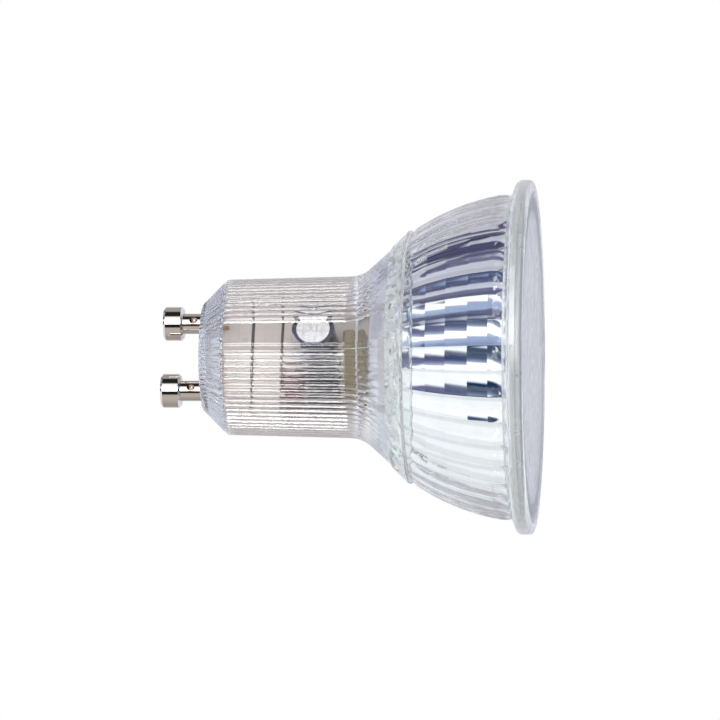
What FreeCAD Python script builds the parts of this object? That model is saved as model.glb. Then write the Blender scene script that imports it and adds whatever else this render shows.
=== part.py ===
import FreeCAD, Part
import math
import os

# A mains spotlight bulb of pressed glass, standing on its front rim with its contact pins up.
# Origin at the centre of the front face, +Z towards the pins, pins spread along X, windows facing Y.

# Overall sizes
rim_radius = 25.0
body_length = 46.7
pin_reach = 5.9
pin_spacing = 10.0

# Glass rim and lens seat
rim_front_edge = 0.5
rim_band_end = 1.3
rim_roll_z = 2.2
rim_roll_inset = 0.5
rim_back_z = 2.9
rim_overhang = 1.85
rim_wall = 1.6
lens_seat_depth = 1.6
rest_lip = 0.05

# Fluted cup
flute_count = 38
flute_depth = 0.35
cup_back_z = 17.1
cup_back_radius = 17.75
cup_arc_radius = 31.6
cup_rings = 3
flute_sides = 3
cup_wall = 1.7

# Ridge, faceted shoulder and flare behind the cup, with radii as shares of the way from neck to ridge
ridge_width = 0.7
ridge_proud = 0.12
shoulder_length = 2.0
shoulder_share = 0.685
shoulder_step = 0.3
rib_runout = 0.9
flare_length = 2.6
flare_share = 0.26
hollow_flare = 1.2

# Ribbed neck
neck_front_radius = 11.5
neck_drop = 0.52
neck_fillet = 4.5
neck_fillet_steps = 1
neck_wall = 1.8
hollow_drop = 0.15
base_wall = 1.6
base_end_margin = 0.18
base_floor_margin = 0.15
ribs_per_side = 35
rib_depth = 0.2
window_half_angle = 8.0

# Front lens
lens_clearance = 0.1

# Faceted reflector, with its rings as shares of its depth
reflector_sheet = 0.4
reflector_gap = 0.3
flange_clearance = 0.6
ring_shares = [0.23, 0.43, 0.64, 0.83]
reflector_floor_inset = 0.9

# Light-emitting board
led_board_margin = 2.7
led_board_thickness = 1.0
led_count = 6
led_edge_gap = 4.9
led_length = 3.5
led_width = 2.8
led_height = 0.8
led_well_depth = 0.3
led_frame = 0.35

# Contact pins and their wires
pin_head_radius = 2.4
pin_head_length = 2.8
pin_head_edge = 0.3
pin_shank_radius = 1.45
pin_hole_clearance = 0.03
swage_lip = 0.65
swage_length = 0.5
bore_clearance = 0.5
bore_past_head = 1.2
crimp_hole_radius = 0.45
crimp_hole_from_head = 1.35
wire_radius = 0.4
wire_overlap = 1.1
wire_gap = 0.1

# Driver board
board_thickness = 1.0
board_side_clearance = 0.3
board_low_inset = 0.7
board_end_gap = 0.8
board_corner = 1.2
seat_gap = 0.05
part_gap = 0.4

# Box capacitor across the front end of the board; shares are of the board's half width and length
box_share = [1.034, 0.145]
box_depth = 5.2
box_edge = 0.4
box_from_end = 0.5
box_lead_gap = 0.6

# Smoothing capacitor, standing towards the window
capacitor_radius = 2.85
capacitor_sleeve = 0.15
capacitor_wall_gap = 0.5
capacitor_box_gap = 1.0
capacitor_choke_gap = 0.85
score_count = 3
score_reach = 2.0
score_depth = 0.15
score_width = 0.3

# Drum choke, lying along the neck
choke_share = [0.3035, 0.206]
choke_drum_radius = 1.3
choke_flange_width = 0.7
choke_sleeve = 0.15
choke_wall_gap = 0.83

# Film capacitor, dipped in epoxy
film_share = [0.562, 0.169]
film_depth = 4.4
film_edge = 0.9
film_wall_gap = 0.5

# Parts on the back of the driver board, sized and placed by shares of its half width and length
flat_height = 1.5
bridge_share = [0.528, 0.2]
bridge_place = [-0.405, 0.19]
chip_share = [0.55, 0.2]
chip_place = [0.36, 0.443]
resistor_height = 0.5
resistor_share = [0.225, 0.064]
resistor_places = [[-0.63, 0.438], [-0.29, 0.438], [0.34, 0.14], [0.675, 0.14], [-0.45, 0.634], [0.45, 0.634]]
fuse_radius = 1.2
fuse_share = 0.73
fuse_from_end = 1.4

# Output leads to the light-emitting board
lead_radius = 0.5
lead_inset = 1.3
lead_hole_clearance = 0.25
lead_tail = 0.35
lead_share = 0.418

# Glass, worked out from the sizes above
lens_bore_radius = rim_radius - rim_wall
cup_front_radius = rim_radius - rim_overhang
ridge_back_z = cup_back_z + ridge_width
ridge_radius = cup_back_radius + ridge_proud
shoulder_front_radius = cup_back_radius - ridge_proud
shoulder_back_z = ridge_back_z + shoulder_length
shoulder_back_radius = neck_front_radius + shoulder_share * (shoulder_front_radius - neck_front_radius)
flare_root_radius = shoulder_back_radius - shoulder_step
flare_back_z = shoulder_back_z + flare_length
flare_back_radius = neck_front_radius + flare_share * (shoulder_front_radius - neck_front_radius)
flare_slope = (flare_back_radius - flare_root_radius) / flare_length
rib_runout_z = shoulder_back_z + rib_runout
neck_back_radius = neck_front_radius - neck_drop
base_end_radius = pin_spacing / 2 + pin_head_radius + base_end_margin
neck_back_z = body_length - (neck_back_radius - base_end_radius)
rib_share = rib_depth / neck_front_radius
rib_pitch = (180.0 - 2.0 * window_half_angle) / ribs_per_side
flute_pitch = 360.0 / flute_count
hollow_front_radius = neck_front_radius - rib_depth - neck_wall
hollow_back_radius = hollow_front_radius - hollow_drop
hollow_flare_z = flare_back_z + hollow_flare
base_floor_z = body_length - base_wall

# Room inside the neck, measured to the middle of the hollow's flats
neck_room = hollow_back_radius * math.cos(math.radians(flute_pitch / 2))

# Pins
pin_tip_z = body_length + pin_reach
pin_head_z = pin_tip_z - pin_head_length
pin_tail_z = base_floor_z - swage_length
swage_radius = pin_shank_radius + swage_lip
base_floor_radius = pin_spacing / 2 + swage_radius + base_floor_margin

# Reflector and lamp board
reflector_floor_z = cup_back_z - reflector_floor_inset
flange_front_z = lens_seat_depth - reflector_sheet
led_board_z = reflector_floor_z - led_board_thickness

# Driver board and its parts
board_front_y = wire_radius + wire_gap
board_back_y = board_front_y + board_thickness
board_half = math.sqrt(neck_room ** 2 - board_back_y ** 2) - board_side_clearance
board_low_z = hollow_flare_z - board_low_inset
board_high_z = base_floor_z - board_end_gap
board_span = board_high_z - board_low_z
seat_y = board_front_y - seat_gap
lead_x = board_half - lead_inset
lead_hole_radius = lead_radius + lead_hole_clearance
box_width = box_share[0] * board_half
box_length = box_share[1] * board_span
box_low_z = board_low_z + box_from_end
box_x = box_width / 2 - (lead_x - lead_radius - box_lead_gap)
box_high_z = box_low_z + box_length
choke_flange_radius = choke_share[0] * board_half
choke_length = choke_share[1] * board_span
choke_radius = choke_flange_radius + choke_sleeve
choke_y = seat_y - choke_radius
choke_x = -math.sqrt((neck_room - choke_radius - choke_wall_gap) ** 2 - choke_y ** 2)
choke_low_z = box_high_z + part_gap
jacket_radius = capacitor_radius + capacitor_sleeve
capacitor_x = choke_x + choke_radius + capacitor_choke_gap + jacket_radius
capacitor_z = box_high_z + capacitor_box_gap + jacket_radius
capacitor_end_y = capacitor_wall_gap - math.sqrt(neck_room ** 2 - (capacitor_x + jacket_radius) ** 2)
film_width = film_share[0] * board_half
film_length = film_share[1] * board_span
film_low_z = choke_low_z + choke_length + part_gap
film_front_y = seat_y - film_depth
film_x = film_width / 2 - math.sqrt((neck_room - film_wall_gap) ** 2 - film_front_y ** 2)

up = FreeCAD.Vector(0, 0, 1)
origin = FreeCAD.Vector(0, 0, 0)
along_y = FreeCAD.Vector(0, 1, 0)
along_x = FreeCAD.Vector(1, 0, 0)


def at(x, y, z):
    return FreeCAD.Vector(x, y, z)


def polar(radius, angle, z):
    turn = math.radians(angle)
    return at(radius * math.cos(turn), radius * math.sin(turn), z)


def turned(points):
    """Turn a closed outline of radius and height about the bulb's axis."""
    corners = [at(r, 0, z) for r, z in points]
    return Part.Face(Part.makePolygon(corners + corners[:1])).revolve(origin, up, 360)


def closed_face(corners):
    return Part.Face(Part.makePolygon(corners + corners[:1]))


def faceted(rings):
    """A solid of flat facets between closed rings of corners, stacked along the axis."""
    faces = [closed_face(rings[0]), closed_face(rings[-1])]
    for low, high in zip(rings, rings[1:]):
        for index in range(len(low)):
            after = (index + 1) % len(low)
            faces.append(closed_face([low[index], low[after], high[after], high[index]]))
    solid = Part.makeSolid(Part.makeShell(faces))
    if solid.Volume < 0:
        solid.reverse()
    return solid


def facet_ring(radius, z):
    """One corner between each pair of flutes, so that a flat lies under each flute."""
    return [polar(radius, 90.0 + (flute + 0.5) * flute_pitch, z) for flute in range(flute_count)]


def block(width, depth, length, x, y, z):
    """A block centred on x, with its low corner at y and z."""
    return Part.makeBox(width, depth, length, at(x - width / 2, y, z))


def hole_through(radius, x, low_z, thickness):
    """A cutting cylinder that runs past both faces of a wall."""
    return Part.makeCylinder(radius, 2 * thickness, at(x, 0, low_z - thickness / 2))


# Outer line of the cup: one arc through the rim's back and the ridge


def cup_centre():
    rise = cup_back_z - rim_back_z
    fall = cup_back_radius - cup_front_radius
    chord = math.hypot(rise, fall)
    height = math.sqrt(cup_arc_radius ** 2 - chord ** 2 / 4)
    middle_z = (rim_back_z + cup_back_z) / 2
    middle_r = (cup_front_radius + cup_back_radius) / 2
    return middle_z + fall / chord * height, middle_r - rise / chord * height


def cup_radius(z, inset=0.0):
    centre_z, centre_r = cup_centre()
    return centre_r + math.sqrt((cup_arc_radius - inset) ** 2 - (z - centre_z) ** 2)


# Outer line of the flare and neck


def neck_taper(z):
    share = (z - flare_back_z) / (neck_back_z - flare_back_z)
    return neck_front_radius + share * (neck_back_radius - neck_front_radius)


def flare_line(z):
    return flare_back_radius + flare_slope * (z - flare_back_z)


def fillet_line():
    """Places where the flare's slope rounds into the neck, as pairs of height and radius."""
    taper = (neck_back_radius - neck_front_radius) / (neck_back_z - flare_back_z)
    corner_z = flare_back_z + (flare_back_radius - neck_front_radius) / (taper - flare_slope)
    steep = math.atan(-flare_slope)
    shallow = math.atan(-taper)
    reach = neck_fillet * math.tan((steep - shallow) / 2)
    end_z = corner_z + reach * math.cos(shallow)
    end_r = neck_taper(end_z)
    centre_z = end_z + neck_fillet * math.sin(shallow)
    centre_r = end_r + neck_fillet * math.cos(shallow)
    places = []
    for step in range(neck_fillet_steps + 1):
        lean = steep + (shallow - steep) * step / neck_fillet_steps
        places.append((centre_z - neck_fillet * math.sin(lean), centre_r - neck_fillet * math.cos(lean)))
    return places


def ribbed_ring(radius, z):
    """Corners of fine ribs, with one flat on each side that faces Y."""
    valley = radius * (1 - rib_share)
    corners = []
    for side in (90.0, 270.0):
        start = side + window_half_angle
        for rib in range(ribs_per_side):
            corners.append(polar(valley, start + rib * rib_pitch, z))
            corners.append(polar(radius, start + (rib + 0.5) * rib_pitch, z))
        corners.append(polar(valley, start + ribs_per_side * rib_pitch, z))
    return corners


def ribbed_neck():
    """The flare's end, the neck and the sloping base, all ribbed alike."""
    stations = [(rib_runout_z, flare_line(rib_runout_z))] + fillet_line()
    stations.append((neck_back_z, neck_back_radius))
    stations.append((body_length, base_end_radius))
    return faceted([ribbed_ring(radius, z) for z, radius in stations])


def fluted_ring(z):
    """Corners of shallow outward bulges, each of a few flats, with a cusp between each pair."""
    crest = cup_radius(z)
    depth = crest * flute_depth / cup_front_radius
    corners = []
    for step in range(flute_count * flute_sides):
        place = 2 * (step % flute_sides) / flute_sides - 1
        bulge = depth * (1 - place ** 2)
        corners.append(polar(crest - depth + bulge, 90.0 + (step / flute_sides - 0.5) * flute_pitch, z))
    return corners


def cup_heights():
    length = cup_back_z - rim_back_z
    return [rim_back_z + length * ring / cup_rings for ring in range(cup_rings + 1)]


def fluted_cup():
    return faceted([fluted_ring(z) for z in cup_heights()])


def rim_solid():
    """The thick rim, eased in front and rolled down to the cup behind."""
    return turned(
        [
            (0, 0),
            (rim_radius - rim_front_edge, 0),
            (rim_radius, rim_front_edge),
            (rim_radius, rim_band_end),
            (rim_radius - rim_roll_inset, rim_roll_z),
            (cup_front_radius, rim_back_z),
            (0, rim_back_z),
        ]
    )


def shoulder_solids():
    """The ridge, the faceted shoulder with its small step, and the smooth start of the flare."""
    ridge = turned(
        [
            (0, cup_back_z),
            (ridge_radius, cup_back_z),
            (shoulder_front_radius, ridge_back_z),
            (0, ridge_back_z),
        ]
    )
    front_ring = facet_ring(shoulder_front_radius, ridge_back_z)
    facets = faceted([front_ring, facet_ring(shoulder_back_radius, shoulder_back_z)])
    flare = turned(
        [
            (0, shoulder_back_z),
            (flare_root_radius, shoulder_back_z),
            (flare_line(rib_runout_z), rib_runout_z),
            (0, rib_runout_z),
        ]
    )
    return [ridge, facets, flare]


def glass_hollow():
    """The space inside the glass: flat facets under the flutes, on through the flare and the neck."""
    outline = [(cup_radius(rim_back_z, cup_wall), lens_seat_depth)]
    outline += [(cup_radius(z, cup_wall), z) for z in cup_heights()]
    outline += [
        (hollow_front_radius, hollow_flare_z),
        (hollow_back_radius, base_floor_z - (hollow_back_radius - base_floor_radius)),
        (base_floor_radius, base_floor_z),
    ]
    return faceted([facet_ring(radius, z) for radius, z in outline])


def lens_bore():
    return Part.makeCylinder(lens_bore_radius, 2 * lens_seat_depth, at(0, 0, -lens_seat_depth))


def pin_places():
    return [("left", -pin_spacing / 2), ("right", pin_spacing / 2)]


def glass_body():
    pieces = [rim_solid(), fluted_cup()] + shoulder_solids() + [ribbed_neck()]
    solid = pieces[0].multiFuse(pieces[1:])
    tools = [glass_hollow(), lens_bore()]
    for _, x in pin_places():
        tools.append(hole_through(pin_shank_radius + pin_hole_clearance, x, base_floor_z, base_wall))
    return solid.cut(tools)


def front_lens():
    """A clear disc in the rim, set just behind the rim's face."""
    return Part.makeCylinder(lens_bore_radius - lens_clearance, flange_front_z - rest_lip, at(0, 0, rest_lip))


# Faceted reflector


def reflector_outer(z):
    """Corner radius of the reflector's outer skin, set in from the glass by a running gap."""
    return cup_radius(max(z, rim_back_z), cup_wall) - reflector_gap


def faceted_skin(inset, high_z):
    depth = high_z - flange_front_z
    heights = [flange_front_z + share * depth for share in [0.0] + ring_shares + [1.0]]
    return faceted([facet_ring(reflector_outer(z) - inset, z) for z in heights])


def reflector_cup():
    """A thin bright cup of flat facets with a floor, hung by its flange under the lens."""
    flange_radius = lens_bore_radius - flange_clearance
    flange = faceted([facet_ring(flange_radius, z) for z in (flange_front_z, lens_seat_depth)])
    shell = faceted_skin(0.0, reflector_floor_z + reflector_sheet).fuse(flange)
    tools = [faceted_skin(reflector_sheet, reflector_floor_z)]
    for x in (-lead_x, lead_x):
        tools.append(hole_through(lead_hole_radius, x, reflector_floor_z, reflector_sheet))
    return shell.cut(tools)


def led_board_radius():
    return reflector_outer(reflector_floor_z) - reflector_sheet - led_board_margin


def led_board():
    """A disc seated on the reflector's floor, with a hole for each lead."""
    board = Part.makeCylinder(led_board_radius(), led_board_thickness, at(0, 0, led_board_z))
    holes = [hole_through(lead_hole_radius, x, led_board_z, led_board_thickness) for x in (-lead_x, lead_x)]
    return board.cut(holes)


def led(index):
    """A light-emitting package with a shallow well in its face."""
    low = led_board_z - led_height
    body = block(led_width, led_length, led_height, 0, -led_length / 2, low)
    well_width = led_width - 2 * led_frame
    well_length = led_length - 2 * led_frame
    well = block(well_width, well_length, 2 * led_well_depth, 0, -well_length / 2, low - led_well_depth)
    package = body.cut(well)
    package.translate(at(led_board_radius() - led_edge_gap, 0, 0))
    package.rotate(origin, up, (index + 0.5) * 360.0 / led_count)
    return package


# Driver board and what stands on it


def driver_board():
    high_corner_z = board_high_z - board_corner
    outline = [
        at(-board_half, board_front_y, board_low_z),
        at(board_half, board_front_y, board_low_z),
        at(board_half, board_front_y, high_corner_z),
        at(board_half - board_corner, board_front_y, board_high_z),
        at(board_corner - board_half, board_front_y, board_high_z),
        at(-board_half, board_front_y, high_corner_z),
    ]
    return Part.Face(Part.makePolygon(outline + outline[:1])).extrude(along_y * board_thickness)


def can_cylinder(radius):
    """A cylinder that stands on the driver board and ends short of the window."""
    base = at(capacitor_x, capacitor_end_y, capacitor_z)
    return Part.makeCylinder(radius, seat_y - capacitor_end_y, base, along_y)


def capacitor_can():
    """An aluminium can with a scored end that faces the window."""
    scores = []
    for turn in range(score_count):
        bar = block(2 * score_reach, 2 * score_depth, score_width, 0, -score_depth, -score_width / 2)
        bar.rotate(origin, along_y, 180.0 * turn / score_count)
        bar.translate(at(capacitor_x, capacitor_end_y, capacitor_z))
        scores.append(bar)
    return can_cylinder(capacitor_radius).cut(scores)


def capacitor_jacket():
    """The dark shrink sleeve round the can."""
    return can_cylinder(jacket_radius).cut(can_cylinder(capacitor_radius))


def along_neck(radius, low_z, length):
    return Part.makeCylinder(radius, length, at(choke_x, choke_y, low_z))


def choke_core():
    drum = along_neck(choke_drum_radius, choke_low_z, choke_length)
    low_flange = along_neck(choke_flange_radius, choke_low_z, choke_flange_width)
    high_z = choke_low_z + choke_length - choke_flange_width
    high_flange = along_neck(choke_flange_radius, high_z, choke_flange_width)
    return drum.multiFuse([low_flange, high_flange])


def choke_winding():
    """The coil in its black sleeve, a little prouder than the drum's flanges."""
    low_z = choke_low_z + choke_flange_width
    length = choke_length - 2 * choke_flange_width
    winding = along_neck(choke_radius, low_z, length)
    return winding.cut(along_neck(choke_drum_radius, low_z, length))


def film_capacitor():
    body = block(film_width, film_depth, film_length, film_x, film_front_y, film_low_z)
    return body.makeChamfer(film_edge, body.Edges)


def box_capacitor():
    body = block(box_width, box_depth, box_length, box_x, seat_y - box_depth, box_low_z)
    return body.makeChamfer(box_edge, body.Edges)


def back_block(share, height, place):
    """A flat part on the back of the driver board, centred on its place."""
    width = share[0] * board_half
    length = share[1] * board_span
    middle_z = board_low_z + place[1] * board_span
    return block(width, height, length, place[0] * board_half, board_back_y, middle_z - length / 2)


def fuse_resistor():
    """An axial body lying across the back of the board."""
    fuse_length = fuse_share * board_half
    base = at(-fuse_length / 2, board_back_y + fuse_radius, board_high_z - fuse_from_end)
    return Part.makeCylinder(fuse_radius, fuse_length, base, along_x)


# Contact pins and wires


def contact_pin(x):
    """A bayonet pin: wide head, slim shank, swaged tail inside the glass and a bore for its wire."""
    outline = [
        (0, pin_tail_z),
        (swage_radius, pin_tail_z),
        (swage_radius, base_floor_z),
        (pin_shank_radius, base_floor_z),
        (pin_shank_radius, pin_head_z),
        (pin_head_radius - pin_head_edge, pin_head_z),
        (pin_head_radius, pin_head_z + pin_head_edge),
        (pin_head_radius, pin_tip_z - pin_head_edge),
        (pin_head_radius - pin_head_edge, pin_tip_z),
        (0, pin_tip_z),
    ]
    bore_length = pin_head_z + bore_past_head - pin_tail_z
    bore = Part.makeCylinder(wire_radius + bore_clearance, bore_length, at(0, 0, pin_tail_z))
    reach = 2 * pin_shank_radius
    crimp_start = at(0, -reach, pin_head_z - crimp_hole_from_head)
    crimp = Part.makeCylinder(crimp_hole_radius, reach, crimp_start, along_y)
    pin = turned(outline).cut([bore, crimp])
    pin.translate(at(x, 0, 0))
    return pin


def pin_wire(x):
    """A copper wire from the pin's bore down the face of the driver board."""
    low_z = board_high_z - wire_overlap
    return Part.makeCylinder(wire_radius, pin_head_z - low_z, at(x, 0, low_z))


def output_lead(x, high_z):
    """An insulated lead from the driver board through the reflector's floor to the lamp board."""
    low_z = led_board_z - lead_tail
    return Part.makeCylinder(lead_radius, high_z - low_z, at(x, seat_y - lead_radius, low_z))


def build():
    parts = {
        "glass_body": glass_body(),
        "front_lens": front_lens(),
        "reflector_cup": reflector_cup(),
        "led_board": led_board(),
        "driver_board": driver_board(),
        "capacitor_can": capacitor_can(),
        "capacitor_sleeve": capacitor_jacket(),
        "choke_core": choke_core(),
        "choke_winding": choke_winding(),
        "film_capacitor": film_capacitor(),
        "box_capacitor": box_capacitor(),
        "bridge_rectifier": back_block(bridge_share, flat_height, bridge_place),
        "driver_chip": back_block(chip_share, flat_height, chip_place),
        "fuse_resistor": fuse_resistor(),
        "output_lead_left": output_lead(-lead_x, choke_low_z - part_gap),
        "output_lead_right": output_lead(lead_x, board_low_z + lead_share * board_span),
    }
    for index in range(led_count):
        parts["led_%d" % (index + 1)] = led(index)
    for index, place in enumerate(resistor_places):
        parts["chip_resistor_%d" % (index + 1)] = back_block(resistor_share, resistor_height, place)
    for name, x in pin_places():
        parts["contact_pin_" + name] = contact_pin(x)
        parts["pin_wire_" + name] = pin_wire(x)
    return parts


os.makedirs("parts", exist_ok=True)
for name, shape in build().items():
    shape.exportStep("parts/" + name + ".step")
    print(name, shape.ShapeType, len(shape.Solids), shape.isValid(), round(shape.Volume, 2))
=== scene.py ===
import bmesh
import bpy
import math
from mathutils import Matrix, Vector


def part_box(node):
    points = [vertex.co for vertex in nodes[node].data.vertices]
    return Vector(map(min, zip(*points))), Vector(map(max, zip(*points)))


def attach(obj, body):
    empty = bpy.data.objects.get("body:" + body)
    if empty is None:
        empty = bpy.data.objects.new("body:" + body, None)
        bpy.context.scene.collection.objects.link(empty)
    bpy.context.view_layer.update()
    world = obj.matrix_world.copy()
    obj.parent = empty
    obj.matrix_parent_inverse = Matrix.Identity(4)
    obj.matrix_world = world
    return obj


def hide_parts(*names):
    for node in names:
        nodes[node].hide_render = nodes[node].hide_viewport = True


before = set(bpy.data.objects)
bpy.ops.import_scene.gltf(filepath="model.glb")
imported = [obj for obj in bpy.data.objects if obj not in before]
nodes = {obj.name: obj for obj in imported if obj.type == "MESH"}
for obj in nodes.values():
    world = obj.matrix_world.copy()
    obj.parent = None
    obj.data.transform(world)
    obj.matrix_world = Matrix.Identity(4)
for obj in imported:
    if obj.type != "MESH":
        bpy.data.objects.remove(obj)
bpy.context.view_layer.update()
mm = 0.001  # in metres: the camera's lengths are in metres, the pieces' own in millimetres
weld = 1e-6  # points this near, in metres, are one
endless = 1e5  # a pattern stretched this far doesn't change along that axis
print("frame loaded:", len(nodes), "nodes")


# camera: rolled a quarter turn, so the bulb lies level in the picture with its pins to the left
view = {
    "azimuth": -18.5,  # degrees round the bulb's axis from the window side
    "elevation": -5.4,  # a little in front of the rim
    "distance": 0.9,  # metres
    "frameWidth": 0.1017,  # metres seen across the picture at the bulb
    "middleHeight": 0.0246,  # place on the bulb's axis that is level with the picture's middle
    "drop": 0.00038,  # the bulb's axis lies this much above the picture's middle
    "sensor": 36.0,
    "near": 0.01,
    "far": 20.0,
}


def cameraAxes():
    turn = math.radians(view["azimuth"])
    lift = math.radians(view["elevation"])
    back = Vector((math.sin(turn) * math.cos(lift), -math.cos(turn) * math.cos(lift), math.sin(lift)))
    right = (back * back.z - Vector((0, 0, 1))).normalized()
    return right, back.cross(right), back


def makeCamera():
    right, up, back = cameraAxes()
    target = Vector((0, 0, view["middleHeight"])) - up * view["drop"]
    data = bpy.data.cameras.new("camera")
    data.sensor_width = view["sensor"]
    data.lens = view["sensor"] * view["distance"] / view["frameWidth"]
    data.clip_start = view["near"]
    data.clip_end = view["far"]
    camera = bpy.data.objects.new("camera", data)
    turned = Matrix((right, up, back)).transposed().to_4x4()
    camera.matrix_world = Matrix.Translation(target + back * view["distance"]) @ turned
    bpy.context.scene.collection.objects.link(camera)
    bpy.context.scene.camera = camera


makeCamera()
print("camera placed")


# helpers for node trees


def feed(tree, value, socket):  # a socket is linked, anything else is set
    if isinstance(value, bpy.types.NodeSocket):
        tree.links.new(value, socket)
    elif socket.type == "RGBA":
        socket.default_value = (*value[:3], 1)
    else:
        socket.default_value = value


def add(tree, kind, sockets, **choices):
    node = tree.nodes.new("ShaderNode" + kind)
    for choice, value in choices.items():
        setattr(node, choice, value)
    for socket, value in sockets.items():
        feed(tree, value, node.inputs[socket])
    return node


def remap(tree, value, low, high, start, end):
    ends = {"Value": value, "From Min": low, "From Max": high, "To Min": start, "To Max": end}
    return add(tree, "MapRange", ends).outputs[0]


def mixed(tree, share, first, second):  # sockets 6, 7 and 2 are the Mix node's colours
    return add(tree, "Mix", {0: share, 6: first, 7: second}, data_type="RGBA").outputs[2]


def calc(tree, operation, first, second=0.0, third=0.0):
    return add(tree, "Math", {0: first, 1: second, 2: third}, operation=operation).outputs[0]


def ramp(tree, value, stops):
    node = add(tree, "ValToRGB", {0: value})
    scale = node.color_ramp
    scale.elements.remove(scale.elements[1])
    for index, (spot, colour) in enumerate(stops):
        stop = scale.elements.new(spot) if index else scale.elements[0]
        stop.position = spot
        stop.color = (*colour, 1)
    return node.outputs[0]


def grey(tone):
    return tone, tone, tone


# studio: a light tent whose tone depends on the angle round the bulb's axis, as the photo's highlights show
studio = {
    "bounces": 32,  # enough for light to find its way out of the fluted glass
    "leanStart": 0.17,  # how far a direction leans to the pins before the cup's own tones take over
    "leanEnd": 0.23,
    "backStart": 0.55,  # the same for the tones of the cup's back
    "backEnd": 0.85,
    "twist": 0.66,  # turns the cup's bands a little between its rim and its back
    "twistLean": 0.42,
    "backdrop": grey(1),
    "front": (0.98, 1.0, 1.08),
    "soft": (1.3, 1.28, 1.28),  # what lights matt surfaces
    "pinTones": [  # degrees above the camera's direction, and the light there
        (-180, (0.72, 0.74, 0.84)),
        (-150, (0.7, 0.71, 0.79)),
        (-132, (0.4, 0.37, 0.36)),
        (-98, (0.46, 0.42, 0.41)),
        (-60, (0.62, 0.58, 0.55)),
        (-30, (0.62, 0.58, 0.55)),
        (-24, grey(0.1)),
        (-21, grey(0.01)),
        (-5, grey(0.01)),
        (-2, grey(0.8)),
        (0, grey(5.0)),
        (26, grey(5.0)),
        (29, grey(1.6)),
        (46, grey(1.4)),
        (52, grey(0.5)),
        (56, grey(0.02)),
        (88, grey(0.02)),
        (94, (0.35, 0.33, 0.32)),
        (100, (0.48, 0.45, 0.44)),
        (135, (0.46, 0.43, 0.43)),
        (155, (0.7, 0.71, 0.79)),
        (180, (0.72, 0.74, 0.84)),
    ],
    "ribTones": [  # what polished glass mirrors, so each rib has its white line
        (-180, grey(0.3)),
        (-70, grey(0.3)),
        (-66, grey(18)),
        (-26, grey(18)),
        (-22, grey(0.3)),
        (16, grey(0.3)),
        (19, grey(14)),
        (28, grey(14)),
        (31, grey(0.3)),
        (41, grey(0.3)),
        (44, grey(10)),
        (70, grey(8)),
        (75, grey(0.3)),
        (180, grey(0.3)),
    ],
    "neckTones": [
        (-180, (0.55, 0.53, 0.535)),
        (-163, (0.6, 0.58, 0.59)),
        (-150, (0.5, 0.48, 0.49)),
        (-70, (0.45, 0.43, 0.44)),
        (-40, (0.5, 0.48, 0.5)),
        (-25, (0.6, 0.58, 0.6)),
        (-16, (0.36, 0.35, 0.38)),
        (-6, (0.4, 0.39, 0.42)),
        (6, grey(0.8)),
        (16, grey(1.25)),
        (50, grey(1.25)),
        (60, (0.8, 0.79, 0.81)),
        (80, (0.45, 0.44, 0.46)),
        (110, (0.42, 0.41, 0.42)),
        (145, (0.5, 0.48, 0.49)),
        (180, (0.55, 0.53, 0.535)),
    ],
    "cupTones": [
        (-180, (0.84, 0.86, 0.9)),
        (-150, (0.82, 0.84, 0.87)),
        (-130, (0.84, 0.88, 0.9)),
        (-105, (0.88, 0.92, 0.93)),
        (-60, (0.94, 0.98, 0.98)),
        (-26, (1.08, 1.1, 1.14)),
        (-24, (0.3, 0.38, 0.5)),
        (-23, (0.01, 0.035, 0.09)),
        (-10, (0.01, 0.04, 0.1)),
        (-4, (0.12, 0.16, 0.26)),
        (1, (0.3, 0.36, 0.52)),
        (4, grey(1.3)),
        (19, grey(1.3)),
        (22, (0.42, 0.5, 0.72)),
        (38, (0.3, 0.39, 0.6)),
        (41, (0.07, 0.09, 0.19)),
        (51, (0.07, 0.09, 0.18)),
        (54, (0.52, 0.57, 0.68)),
        (62, (0.6, 0.64, 0.72)),
        (64, (0.12, 0.13, 0.24)),
        (70, (0.12, 0.13, 0.24)),
        (72, (0.6, 0.61, 0.69)),
        (89, (0.6, 0.6, 0.68)),
        (91, (0.05, 0.05, 0.12)),
        (101, (0.05, 0.05, 0.12)),
        (103, (0.58, 0.58, 0.66)),
        (104, (0.58, 0.58, 0.66)),
        (106, (0.08, 0.07, 0.15)),
        (112, (0.08, 0.07, 0.15)),
        (114, (0.6, 0.6, 0.68)),
        (140, (0.7, 0.71, 0.77)),
        (180, (0.84, 0.86, 0.9)),
    ],
    "backTones": [
        (-180, (0.78, 0.8, 0.84)),
        (-140, (0.76, 0.8, 0.83)),
        (-110, (0.82, 0.87, 0.89)),
        (-85, (0.88, 0.93, 0.94)),
        (-60, (0.94, 0.99, 1.0)),
        (-26, (1.08, 1.12, 1.16)),
        (-23, (0.5, 0.52, 0.62)),
        (-20, (0.1, 0.11, 0.24)),
        (-8, (0.1, 0.12, 0.26)),
        (1, (0.4, 0.45, 0.62)),
        (4, grey(1.2)),
        (19, grey(1.2)),
        (22, (0.5, 0.6, 0.8)),
        (38, (0.22, 0.3, 0.5)),
        (41, (0.12, 0.13, 0.22)),
        (51, (0.11, 0.11, 0.18)),
        (54, (0.52, 0.57, 0.68)),
        (62, (0.52, 0.57, 0.68)),
        (64, (0.12, 0.11, 0.18)),
        (70, (0.12, 0.11, 0.18)),
        (72, (0.64, 0.67, 0.76)),
        (89, (0.64, 0.67, 0.74)),
        (91, (0.08, 0.07, 0.11)),
        (101, (0.08, 0.07, 0.11)),
        (103, (0.64, 0.66, 0.73)),
        (104, (0.64, 0.66, 0.73)),
        (106, (0.1, 0.09, 0.14)),
        (112, (0.1, 0.09, 0.14)),
        (114, (0.65, 0.66, 0.74)),
        (140, (0.72, 0.73, 0.78)),
        (180, (0.78, 0.8, 0.84)),
    ],
}


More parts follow.
